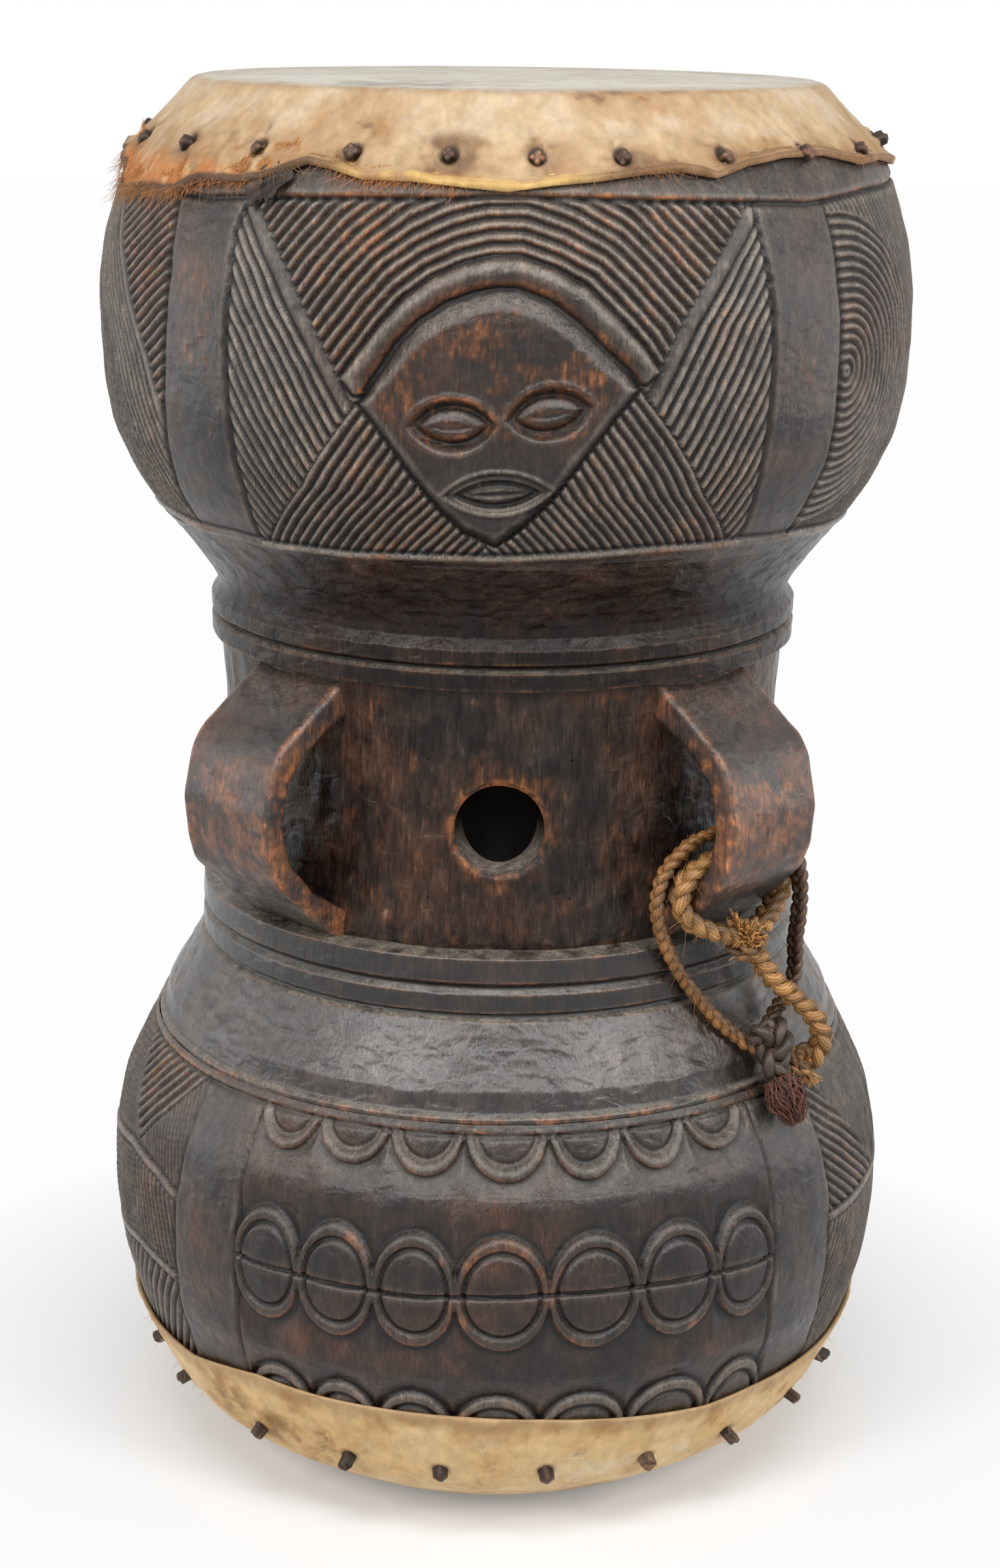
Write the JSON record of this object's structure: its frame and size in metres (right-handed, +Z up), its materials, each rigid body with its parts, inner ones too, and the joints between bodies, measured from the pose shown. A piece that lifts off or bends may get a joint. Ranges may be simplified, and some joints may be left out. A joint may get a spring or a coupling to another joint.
{
  "type": "carved wooden drum",
  "caption": "Waisted drum hewn from one log, with a skin pegged over each end, a carved mask, strap handles round the neck, a sound hole and a knotted rope sling.",
  "frame": {"origin": "on the floor, at the middle of the drum's outline seen from above", "axes": "+Z up the drum, -Y toward the front with the mask and the sound hole, +X to the right seen from the front"},
  "size_m": [0.3525, 0.3528, 0.61],
  "materials": {
    "dark_wood": "dark, worn and handled, matte to satin",
    "hide": "raw hide, dry, matte",
    "peg_wood": "whittled, bare",
    "dark_hide": "dark, torn",
    "plait": "plaited plant fibre, hairy",
    "sling": "twisted plant fibre",
    "dark_cord": "dyed cord, worn"
  },
  "bodies": {
    "root": {"drum_body": "dark_wood", "top_skin": "hide", "bottom_skin": "hide", "hide_scrap": "dark_hide", "plait_ring": "plait", "plait_tail": "plait", "plait_end_knot": "plait", "frayed_knot": "plait", "sling_rope": "sling", "dark_knot": "dark_cord", "dark_tassel": "dark_cord", "top_peg_01": "peg_wood", "top_peg_02": "peg_wood", "top_peg_03": "peg_wood", "top_peg_04": "peg_wood", "top_peg_05": "peg_wood", "top_peg_06": "peg_wood", "top_peg_07": "peg_wood", "top_peg_08": "peg_wood", "top_peg_09": "peg_wood", "top_peg_10": "peg_wood", "top_peg_11": "peg_wood", "top_peg_12": "peg_wood", "top_peg_13": "peg_wood", "top_peg_14": "peg_wood", "top_peg_15": "peg_wood", "top_peg_16": "peg_wood", "top_peg_17": "peg_wood", "top_peg_18": "peg_wood", "top_peg_19": "peg_wood", "top_peg_20": "peg_wood", "top_peg_21": "peg_wood", "top_peg_22": "peg_wood", "top_peg_23": "peg_wood", "bottom_peg_01": "peg_wood", "bottom_peg_02": "peg_wood", "bottom_peg_03": "peg_wood", "bottom_peg_04": "peg_wood", "bottom_peg_05": "peg_wood", "bottom_peg_06": "peg_wood", "bottom_peg_07": "peg_wood", "bottom_peg_08": "peg_wood", "bottom_peg_09": "peg_wood", "bottom_peg_10": "peg_wood", "bottom_peg_11": "peg_wood", "bottom_peg_12": "peg_wood", "bottom_peg_13": "peg_wood", "bottom_peg_14": "peg_wood", "bottom_peg_15": "peg_wood", "bottom_peg_16": "peg_wood", "bottom_peg_17": "peg_wood", "bottom_peg_18": "peg_wood", "bottom_peg_19": "peg_wood", "bottom_peg_20": "peg_wood", "bottom_peg_21": "peg_wood", "bottom_peg_22": "peg_wood"}
  },
  "joints": []
}
